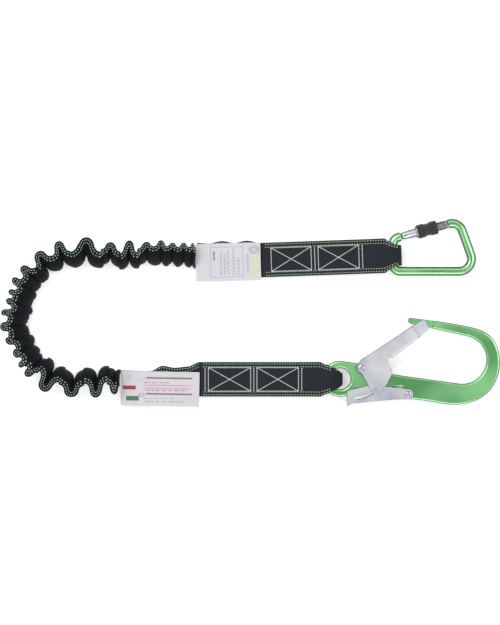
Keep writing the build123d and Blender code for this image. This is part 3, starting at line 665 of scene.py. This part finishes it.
def fold_shape(turn, samples):
    """One fold of a meandering ribbon whose heading swings to turn degrees either side.

    Gives (advance 0 to 1, rise 0 to 1 and back, heading) at each sample.
    """
    swing = math.radians(turn)
    headings = [swing * math.sin(math.tau * (index + 0.5) / samples) for index in range(samples)]
    advance = [0.0]
    rise = [0.0]
    for heading in headings:
        advance.append(advance[-1] + math.cos(heading))
        rise.append(rise[-1] + math.sin(heading))
    top = max(rise)
    return [(advance[index] / advance[-1], rise[index] / top, swing * math.sin(math.tau * index / samples))
            for index in range(samples)]


FOLD_SAMPLES = 44
ACROSS_STEPS = 16
FOLD_SEED = 21
# how unevenly the folds vary: shares of the values below, or millimetres
LENGTH_SPREAD = (0.66, 1.32)
RISE_SPREAD = (0.60, 1.14)
LOW_SPREAD = (-2.6, 3.0)
LOBE_SPREAD = (0.74, 1.16)
SKEW_SPREAD = (-0.16, 0.16)
DIP_SPREAD = (-1.6, 1.2)
SHORTEST_FOLD = 9.0
PINCH = 0.15                # how far a fold's two sides lean together below the stitched edge
CORE_SHARE = 0.3            # thickness of the absorber strap against the tube's
CORE_INSET = 3              # columns that the strap stays in from each edge
FOLD_SWELL = 0.45           # the tube is this much thicker in the middle than at its edges
THREAD_LIFT = 0.1           # middle of a stitch above the webbing's face
FIRST_SEAM = 100.0          # where the first gathered piece ends along the path
SEAM_SLACK = 3.0            # stretch kept in from each seam where the turning stretch starts, more where the seam stands askew
SEAM_REACH = 21.0
# (distance along the path, value): length of a fold, swing of the ribbon's heading, rise of a fold
FOLD_LENGTHS = ((0, 12.0), (40, 13.0), (70, 31.0), (205, 29.0), (235, 13.5), (325, 13.5),
                (360, 25.0), (470, 29.0))
FOLD_TURNS = ((0, 66.0), (40, 66.0), (70, 74.0), (200, 78.0), (240, 84.0), (325, 84.0), (360, 80.0))
FOLD_RISES = ((0, 6.0), (40, 7.5), (75, 16.5), (205, 18.0), (240, 11.0), (325, 11.0),
              (360, 19.0), (470, 16.0))
STEEPEST_FOLD = 0.72        # rise of a fold against its length, at most
FOLD_THICKNESS = ((0, 2.1), (40, 2.2), (70, 3.2), (205, 3.3), (240, 4.4), (325, 4.4), (360, 3.3))
OUTWARD_BIAS = ((0, 9.0), (45, 8.0), (80, 3.5), (120, 3.0), (230, 0.5), (470, 0.0))
# slope of the webbing below level: at its stitched upper edge, and where it tucks under
FIRST_SLOPES = ((0, 0.0), (45, 2.0), (80, 12.0), (205, 12.0), (240, 4.0), (325, 4.0), (360, 12.0))
LAST_SLOPES = ((0, 92.0), (45, 96.0), (80, 114.0), (205, 114.0), (240, 104.0), (325, 104.0), (360, 114.0))


class Gather:
    """The gathered tubular webbing as a grid of surface points: rows along it, columns across it."""

    def __init__(self):
        self.path = GatherPath()
        self.rows = []
        self.places = []
        self.fold_starts = []
        self.make_rows()
        self.middle = np.array(self.rows)
        along = np.gradient(self.middle, axis=0)
        across = np.gradient(self.middle, axis=1)
        normals = np.cross(across, along)
        self.normals = normals / np.linalg.norm(normals, axis=2, keepdims=True)
        steps = np.linalg.norm(np.diff(self.middle[:, 0], axis=0), axis=1)
        self.travelled = np.concatenate(([0.0], np.cumsum(steps)))

    def make_rows(self):
        chance = random.Random(FOLD_SEED)
        place = 0.0
        low = 0.0
        while place < self.path.length:
            length = between(FOLD_LENGTHS, place) * chance.uniform(*LENGTH_SPREAD)
            length = min(length, max(self.path.length - place, SHORTEST_FOLD))
            rise = min(between(FOLD_RISES, place) * chance.uniform(*RISE_SPREAD), STEEPEST_FOLD * length)
            next_low = chance.uniform(*LOW_SPREAD)
            next_lobe = chance.uniform(*LOBE_SPREAD)
            skew = chance.uniform(*SKEW_SPREAD) * length
            dip = chance.uniform(*DIP_SPREAD)
            self.fold_starts.append((len(self.rows), place))
            for advance, lift, heading in fold_shape(between(FOLD_TURNS, place), FOLD_SAMPLES):
                here = place + advance * length
                bulge = math.sin(math.pi * advance)
                outward = (between(OUTWARD_BIAS, here) + low + (next_low - low) * advance
                           + rise * (lift - 0.5) + self.curl(here, 0.75)[0] / 2)
                self.add_row(here, outward, heading, length, skew * bulge ** 2,
                             1 + (next_lobe - 1) * bulge, dip * lift)
            place += length
            low = next_low
        self.fold_starts.append((len(self.rows) - 1, place))

    def curl(self, place, depth):
        """How far the curling width has gone inward and down, at a share of it from the upper edge."""
        first = math.radians(between(FIRST_SLOPES, place))
        turn = math.radians(between(LAST_SLOPES, place)) - first
        here = first + turn * depth
        reach = GATHER_WIDTH / turn
        return reach * (math.sin(here) - math.sin(first)), reach * (math.cos(first) - math.cos(here))

    def add_row(self, place, outward, heading, fold_length, skew, lobe, dip):
        """One line across the webbing, from its stitched upper edge to the lower edge."""
        points = []
        _, whole_fall = self.curl(place, 1.0)
        for column in range(ACROSS_STEPS + 1):
            depth = column / ACROSS_STEPS
            inward, fall = self.curl(place, depth)
            pinch = PINCH * fold_length * math.sin(heading) * (1 - (1 - depth) ** 4)
            point, _, out = self.path.frame_at(place + pinch + skew * depth)
            lift = GATHER_LOW + whole_fall - fall + dip * (1 - depth)
            points.append(point + out * (outward - inward * lobe) + Vector((0, 0, lift)))
        self.rows.append(points)
        self.places.append(place)

    def thickness(self, column, row):
        """The tube is pinched at its stitched edges and full in the middle."""
        depth = column / ACROSS_STEPS
        swell = math.sin(math.pi * depth) ** 0.6 if 0 < depth < 1 else 0.0
        return between(FOLD_THICKNESS, self.places[row]) * (1 + FOLD_SWELL * swell)

    def skin_between(self, first, last, share, inset):
        """Closed skin over rows first to last. share scales the thickness, inset narrows it."""
        rings = []
        weave = []
        for row in range(first, last + 1):
            front = []
            back = []
            marks = []
            for column in range(inset, ACROSS_STEPS + 1 - inset):
                middle = Vector(self.middle[row, column])
                push = Vector(self.normals[row, column]) * (self.thickness(column, row) / 2 * share)
                front.append(middle + push)
                back.append(middle - push)
                marks.append((self.travelled[row], WEB_HALF - 2 * WEB_HALF * column / ACROSS_STEPS))
            rings.append(front + back[::-1])
            weave.append(marks + marks[::-1])
        return rings, weave

    def surface(self, row, across, face):
        """Point and outward normal on one face, at a fractional row and a distance from the upper edge."""
        column = across / (2 * WEB_HALF) * ACROSS_STEPS
        low_row = min(int(row), len(self.rows) - 2)
        low_column = min(int(column), ACROSS_STEPS - 1)
        row_share = row - low_row
        column_share = column - low_column
        middle = Vector((0, 0, 0))
        normal = Vector((0, 0, 0))
        for step_row, row_weight in ((0, 1 - row_share), (1, row_share)):
            for step_column, column_weight in ((0, 1 - column_share), (1, column_share)):
                weight = row_weight * column_weight
                middle += Vector(self.middle[low_row + step_row, low_column + step_column]) * weight
                normal += Vector(self.normals[low_row + step_row, low_column + step_column]) * weight
        normal = normal.normalized() * face
        return middle + normal * (self.thickness(column, low_row) / 2 + THREAD_LIFT), normal

    def thread_rows(self, skin, first, last):
        """Green thread along both stitched edges of the tube, on both faces."""
        outer, inner = ROW_INSETS
        for across in (outer, inner, 2 * WEB_HALF - inner, 2 * WEB_HALF - outer):
            travelled = self.travelled[first] + 0.5
            while travelled + GREEN_PITCH < self.travelled[last]:
                rows = [float(np.interp(travelled + shift, self.travelled, np.arange(len(self.rows))))
                        for shift in (0.0, GREEN_LENGTH)]
                for face in (1, -1):
                    start, normal = self.surface(rows[0], across, face)
                    stop, _ = self.surface(rows[1], across, face)
                    if (stop - start).length > 0.5:
                        add_stitch(skin, start, stop, normal, GREEN_WIDTH, GREEN_HEIGHT)
                travelled += GREEN_PITCH

    def seam_row(self, place):
        """Row and distance of the fold start nearest to a distance along the path."""
        return min(self.fold_starts, key=lambda start: abs(start[1] - place))


def gathered_pieces(path):
    """One piece for each joint of the chain: its number, two bodies, and its end along the path."""
    quarter = path.bend_length / 4
    return (
        ("1", "upper_end", "web_a", FIRST_SEAM),
        ("2", "web_a", "web_b", path.run_length + quarter),
        ("3", "web_b", "web_c", path.run_length + 3 * quarter),
        ("4", "web_c", "web_d", path.run_length + 4 * quarter + SEAM_SLACK),
        ("5", "web_d", "lower_end", path.length),
    )


def blend_ends(path, start, stop):
    """Start and end of the turning stretch, kept inside the two seams so that neighbours always meet."""
    first, first_heading, _ = path.frame_at(start)
    last, last_heading, _ = path.frame_at(stop)
    chord = (last - first).normalized()
    first_slack = SEAM_SLACK + SEAM_REACH * first_heading.cross(chord).length
    last_slack = SEAM_SLACK + SEAM_REACH * last_heading.cross(chord).length
    return (first + chord * first_slack) * MM, (last - chord * last_slack) * MM


def make_gathered_web():
    gather = Gather()
    first, start = gather.fold_starts[0]
    for number, near_body, far_body, place in gathered_pieces(gather.path):
        last, stop = gather.seam_row(place)
        bend_start, bend_stop = blend_ends(gather.path, start, stop)
        web_skin = Skin()
        web_skin.tube(*gather.skin_between(first, last, 1.0, 0))
        web = web_skin.build("gathered_web_" + number, SHADED_LOOSE_WEB)
        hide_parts("crinkled_web_" + number)
        core_skin = Skin()
        core_skin.tube(*gather.skin_between(first, last, CORE_SHARE, CORE_INSET))
        core = core_skin.build("tear_core_" + number, CORE)
        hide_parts("absorber_core_" + number)
        thread_skin = Skin()
        gather.thread_rows(thread_skin, first, last)
        threads = thread_skin.build("gathered_thread_" + number, GREEN_THREAD)
        for piece in (web, core, threads):
            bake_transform(piece)
        first, start = last, stop


# ------------------------------------------------------------------ labels
LEAVES = ((0.0, 0.35, 0.012), (0.42, 0.3, 0.006), (0.78, 0.34, 0.0))    # lift, thickness, shrink
INK_OVER = 0.05             # top of the print above the paper
INK_UNDER = 0.02            # foot of the print below the paper's surface
LEAF_COLUMNS = 30
LEAF_ROWS = 12
MARK_COLUMN = 0.14          # longest steps of a mark, as shares of the label's half sizes
MARK_ROW = 0.3
RING_STEPS = 28


class Label:
    """A thin booklet label lying on the webbing, with generic print and no lettering."""

    DARK, PALE, RED, PINK, GREEN_MARK, HATCH = range(len(INKS))

    def __init__(self, name, tilt, curl):
        low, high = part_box(name)
        self.name = name
        self.centre = (low + high) / 2 / MM
        size = (high - low) / MM
        turn = math.radians(tilt)
        self.along = Vector((math.cos(turn), math.sin(turn), 0))
        self.up = Vector((-math.sin(turn), math.cos(turn), 0))
        narrowing = math.cos(turn) ** 2 - math.sin(turn) ** 2
        self.half_long = (size.x * math.cos(turn) - size.y * abs(math.sin(turn))) / narrowing / 2
        self.half_wide = (size.y * math.cos(turn) - size.x * abs(math.sin(turn))) / narrowing / 2
        self.bottom = low.z / MM
        self.curl = curl
        self.leaves = Skin()
        self.print = Skin()
        self.paper = LEAVES[-1][0] + LEAVES[-1][1]

    def at(self, x, y, lift):
        """x and y are shares of the label's half length and half width."""
        wave = 0.5 + 0.5 * math.sin(1.9 * x + 0.8) * math.cos(0.9 * y)
        bow = self.curl * (0.5 * x * x + 0.3 * wave + 0.25 * y * y)
        place = self.centre + self.along * (x * self.half_long) + self.up * (y * self.half_wide)
        return Vector((place.x, place.y, self.bottom + 0.1 + bow + lift))

    def leaf(self, lift, thickness, shrink):
        """One leaf of the booklet, a share smaller than the label's box."""
        rings = []
        weave = []
        ys = [(-1 + 2 * row / LEAF_ROWS) * (1 - shrink) for row in range(LEAF_ROWS + 1)]
        for step in range(LEAF_COLUMNS + 1):
            x = (-1 + 2 * step / LEAF_COLUMNS) * (1 - shrink)
            top = [self.at(x, y, lift + thickness) for y in ys]
            low = [self.at(x, y, lift) for y in reversed(ys)]
            rings.append(top + low)
            weave.append([(x, 0.0)] * len(rings[-1]))
        self.leaves.tube(rings, weave)

    def mark(self, x0, y0, x1, y1, ink):
        """A printed bar or block between two corners, as a very thin plate that follows the curl."""
        columns = max(1, math.ceil(abs(x1 - x0) / MARK_COLUMN))
        rows = max(1, math.ceil(abs(y1 - y0) / MARK_ROW))
        rings = []
        weave = []
        for column in range(columns + 1):
            x = x0 + (x1 - x0) * column / columns
            ys = [y0 + (y1 - y0) * row / rows for row in range(rows + 1)]
            top = [self.at(x, y, self.paper + INK_OVER) for y in ys]
            low = [self.at(x, y, self.paper - INK_UNDER) for y in reversed(ys)]
            rings.append(top + low)
            weave.append([(x, 0.0)] * len(rings[-1]))
        self.print.tube(rings, weave, ink)

    def outline(self, x0, y0, x1, y1, width, ink):
        """A printed rectangle's four lines."""
        wide = width / self.half_long
        tall = width / self.half_wide
        self.mark(x0, y0, x1, y0 + tall, ink)
        self.mark(x0, y1 - tall, x1, y1, ink)
        self.mark(x0, y0 + tall, x0 + wide, y1 - tall, ink)
        self.mark(x1 - wide, y0 + tall, x1, y1 - tall, ink)

    def ring(self, x, y, radius, width, ink, squeeze=1.0):
        """A printed ring, flattened by the squeeze."""
        inside = radius - width
        for step in range(RING_STEPS):
            first, last = (math.tau * (step + shift) / RING_STEPS for shift in (0, 1))
            corners = []
            for turn, reach in ((first, inside), (last, inside), (last, radius), (first, radius)):
                across = x + reach * math.cos(turn) / self.half_long
                upward = y + squeeze * reach * math.sin(turn) / self.half_wide
                corners.append(self.at(across, upward, self.paper - INK_UNDER))
            self.print.slab(corners, Vector((0, 0, 1)), INK_OVER + INK_UNDER, ink)

    def text_rows(self, x0, y0, x1, y1, count, ink, upright, seed, fill=0.5):
        """Rows of plain dashes that stand for print, running along or up the label."""
        chance = random.Random(seed)
        thick = fill / count / 2
        for row in range(count):
            level = (row + 0.5) / count
            spot = chance.uniform(0.0, 0.05)
            end = chance.uniform(0.6, 1.0)
            while spot < end:
                dash = chance.uniform(0.05, 0.14)
                stop = min(end, spot + dash)
                low_x, high_x = (level - thick, level + thick) if upright else (spot, stop)
                low_y, high_y = (spot, stop) if upright else (level - thick, level + thick)
                self.mark(x0 + (x1 - x0) * low_x, y0 + (y1 - y0) * low_y,
                          x0 + (x1 - x0) * high_x, y0 + (y1 - y0) * high_y, ink)
                spot += dash + chance.uniform(0.02, 0.05)

    def make(self, body, draw):
        for lift, thickness, shrink in LEAVES:
            self.leaf(lift, thickness, shrink)
        draw(self)
        paper = self.leaves.build(self.name + "_leaves", LABEL, smooth=False)
        ink = self.print.build(self.name + "_print", *INKS, smooth=False)
        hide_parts(self.name)
        for piece in (paper, ink):
            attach(piece, body)


def draw_upper_label(label):
    """A ruled frame with columns of upright print, and a hatched strip at the sewn side."""
    label.outline(-0.54, -0.80, 0.46, 0.80, 0.35, label.DARK)
    label.text_rows(-0.47, 0.10, -0.40, 0.70, 1, label.DARK, True, 3, fill=0.8)
    label.text_rows(-0.28, -0.72, 0.06, 0.72, 3, label.PALE, True, 5)
    label.text_rows(0.10, -0.72, 0.38, 0.72, 2, label.PALE, True, 8)
    label.text_rows(0.54, -0.60, 0.66, 0.55, 1, label.PALE, True, 13, fill=0.5)
    label.mark(0.72, -0.88, 0.96, 0.35, label.HATCH)
    for radius in (6.5, 4.2):
        label.ring(0.80, 0.62, radius, 0.7, label.DARK, squeeze=0.8)


def draw_lower_label(label):
    """Coloured blocks, a plain ring, and two small diagrams of a strap with a ring at one end."""
    for radius, width in ((3.4, 0.8), (1.6, 0.6)):
        label.ring(-0.80, 0.66, radius, width, label.PALE)
    label.mark(-0.95, -0.06, -0.62, 0.16, label.RED)
    label.mark(-0.86, -0.70, -0.54, -0.44, label.GREEN_MARK)
    for level, ring_ink in ((0.58, label.PALE), (-0.34, label.GREEN_MARK)):
        label.ring(-0.47, level - 0.02, 3.6, 0.7, ring_ink, squeeze=0.7)
        label.mark(-0.36, level, 0.82, level + 0.09, label.DARK)
    label.text_rows(-0.42, 0.30, 0.60, 0.42, 1, label.PINK, False, 4, fill=0.5)
    for level in (0.18, 0.02):
        label.mark(-0.40, level, 0.78, level + 0.035, label.PINK)
    label.text_rows(-0.42, -0.16, 0.80, -0.02, 1, label.PINK, False, 6, fill=0.5)
    label.outline(-0.42, -0.02, 0.82, 0.22, 0.3, label.PINK)
    label.text_rows(-0.42, -0.62, 0.70, -0.50, 1, label.PALE, False, 9, fill=0.45)
    label.text_rows(-0.42, -0.80, 0.84, -0.68, 1, label.PINK, False, 12, fill=0.45)


# ------------------------------------------------------------------ floor, light and camera
FLOOR_GAP = 0.4
FLOOR_HALF = 4.0            # in metres
FLOOR_GLOW = 0.42           # keeps the paper near white
CAMERA_CENTRE = (-276.2, 61.4)
FRAME_HEIGHT = 812.5        # height of the picture at the middle plane
LENS = 120.0
SENSOR = 36.0
# brightness of the surroundings against the sine of the height above the horizon
WORLD_LEVELS = ((0.001, 0.04), (0.15, 0.10), (0.40, 0.85), (0.75, 0.75), (0.999, 0.60))


def make_floor():
    low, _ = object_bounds()
    mesh = bpy.data.meshes.new("floor")
    signs = ((-1, -1), (1, -1), (1, 1), (-1, 1))
    corners = [(x * FLOOR_HALF, y * FLOOR_HALF, low.z - FLOOR_GAP * MM) for x, y in signs]
    mesh.from_pydata(corners, [], [(0, 1, 2, 3)])
    paint = Recipe("floor_paper")
    shade = paint.blend(paint.noise(3.0, 2.0), (0.90, 0.90, 0.90, 1), (0.93, 0.93, 0.93, 1))
    mesh.materials.append(paint.finish(Base_Color=shade, Roughness=0.9, Specular_IOR_Level=0.1,
                                       Emission_Color=(1, 1, 1, 1), Emission_Strength=FLOOR_GLOW))
    floor = bpy.data.objects.new("floor", mesh)
    bpy.context.scene.collection.objects.link(floor)


def make_softbox(name, place, target, size, power):
    light = bpy.data.lights.new(name, "AREA")
    light.shape = "RECTANGLE"
    light.size, light.size_y = size
    light.energy = power
    lamp = bpy.data.objects.new(name, light)
    lamp.location = place
    lamp.rotation_mode = "QUATERNION"
    lamp.rotation_quaternion = (Vector(target) - Vector(place)).to_track_quat("-Z", "Y")
    bpy.context.scene.collection.objects.link(lamp)


def make_world():
    """A pale studio: bright overhead, greyer towards the horizon so that metal shows its shape."""
    world = bpy.data.worlds.new("studio")
    world.use_nodes = True
    tree = world.node_tree
    place = tree.nodes.new("ShaderNodeTexCoord").outputs["Generated"]
    split = tree.nodes.new("ShaderNodeSeparateXYZ")
    tree.links.new(place, split.inputs[0])
    ramp = tree.nodes.new("ShaderNodeValToRGB")
    for position, level in WORLD_LEVELS:
        element = ramp.color_ramp.elements.new(position)
        element.color = (level, level, level * 1.03, 1)
    ramp.color_ramp.elements.remove(ramp.color_ramp.elements[-1])
    ramp.color_ramp.elements.remove(ramp.color_ramp.elements[0])
    tree.links.new(split.outputs[2], ramp.inputs[0])
    clouds = tree.nodes.new("ShaderNodeTexNoise")
    clouds.inputs["Scale"].default_value = 2.6
    clouds.inputs["Detail"].default_value = 0.0
    tree.links.new(place, clouds.inputs["Vector"])
    patches = tree.nodes.new("ShaderNodeMapRange")
    for socket, value in (("From Min", 0.35), ("From Max", 0.65), ("To Min", 0.55), ("To Max", 1.45)):
        patches.inputs[socket].default_value = value
    tree.links.new(clouds.outputs["Fac"], patches.inputs["Value"])
    scaled = tree.nodes.new("ShaderNodeVectorMath")
    scaled.operation = "SCALE"
    tree.links.new(ramp.outputs[0], scaled.inputs[0])
    tree.links.new(patches.outputs[0], scaled.inputs["Scale"])
    tree.links.new(scaled.outputs[0], tree.nodes["Background"].inputs["Color"])
    tree.nodes["Background"].inputs["Strength"].default_value = 1.0
    bpy.context.scene.world = world


def make_camera():
    camera = bpy.data.cameras.new("camera")
    camera.lens = LENS
    camera.sensor_width = SENSOR
    camera.clip_end = 50.0
    seat = bpy.data.objects.new("camera", camera)
    distance = FRAME_HEIGHT * MM * LENS / SENSOR
    seat.location = (CAMERA_CENTRE[0] * MM, CAMERA_CENTRE[1] * MM, distance)
    bpy.context.scene.collection.objects.link(seat)
    bpy.context.scene.camera = seat


def make_studio():
    make_floor()
    make_world()
    middle = (CAMERA_CENTRE[0] * MM, CAMERA_CENTRE[1] * MM, 0)
    make_softbox("key_light", (-1.0, 0.9, 1.5), middle, (1.0, 0.7), 13.0)
    make_softbox("fill_light", (0.9, 0.3, 1.3), middle, (0.5, 1.0), 5.0)
    make_softbox("rim_light", (-0.2, -1.3, 1.0), middle, (1.6, 0.35), 5.0)
    make_camera()
    bpy.context.scene.view_settings.view_transform = "Standard"


dress_hardware()
SewnEnd("upper", "carabiner_swing", 2.0, UPPER_END, "upper_end").make()
SewnEnd("lower", "hook_swing", 0.0, LOWER_END, "lower_end", flexes_with="hook").make()
make_gathered_web()
Label("upper_label", 1.5, 0.9).make("upper_label", draw_upper_label)
Label("lower_label", -1.0, 0.9).make("lower_label", draw_lower_label)
make_studio()
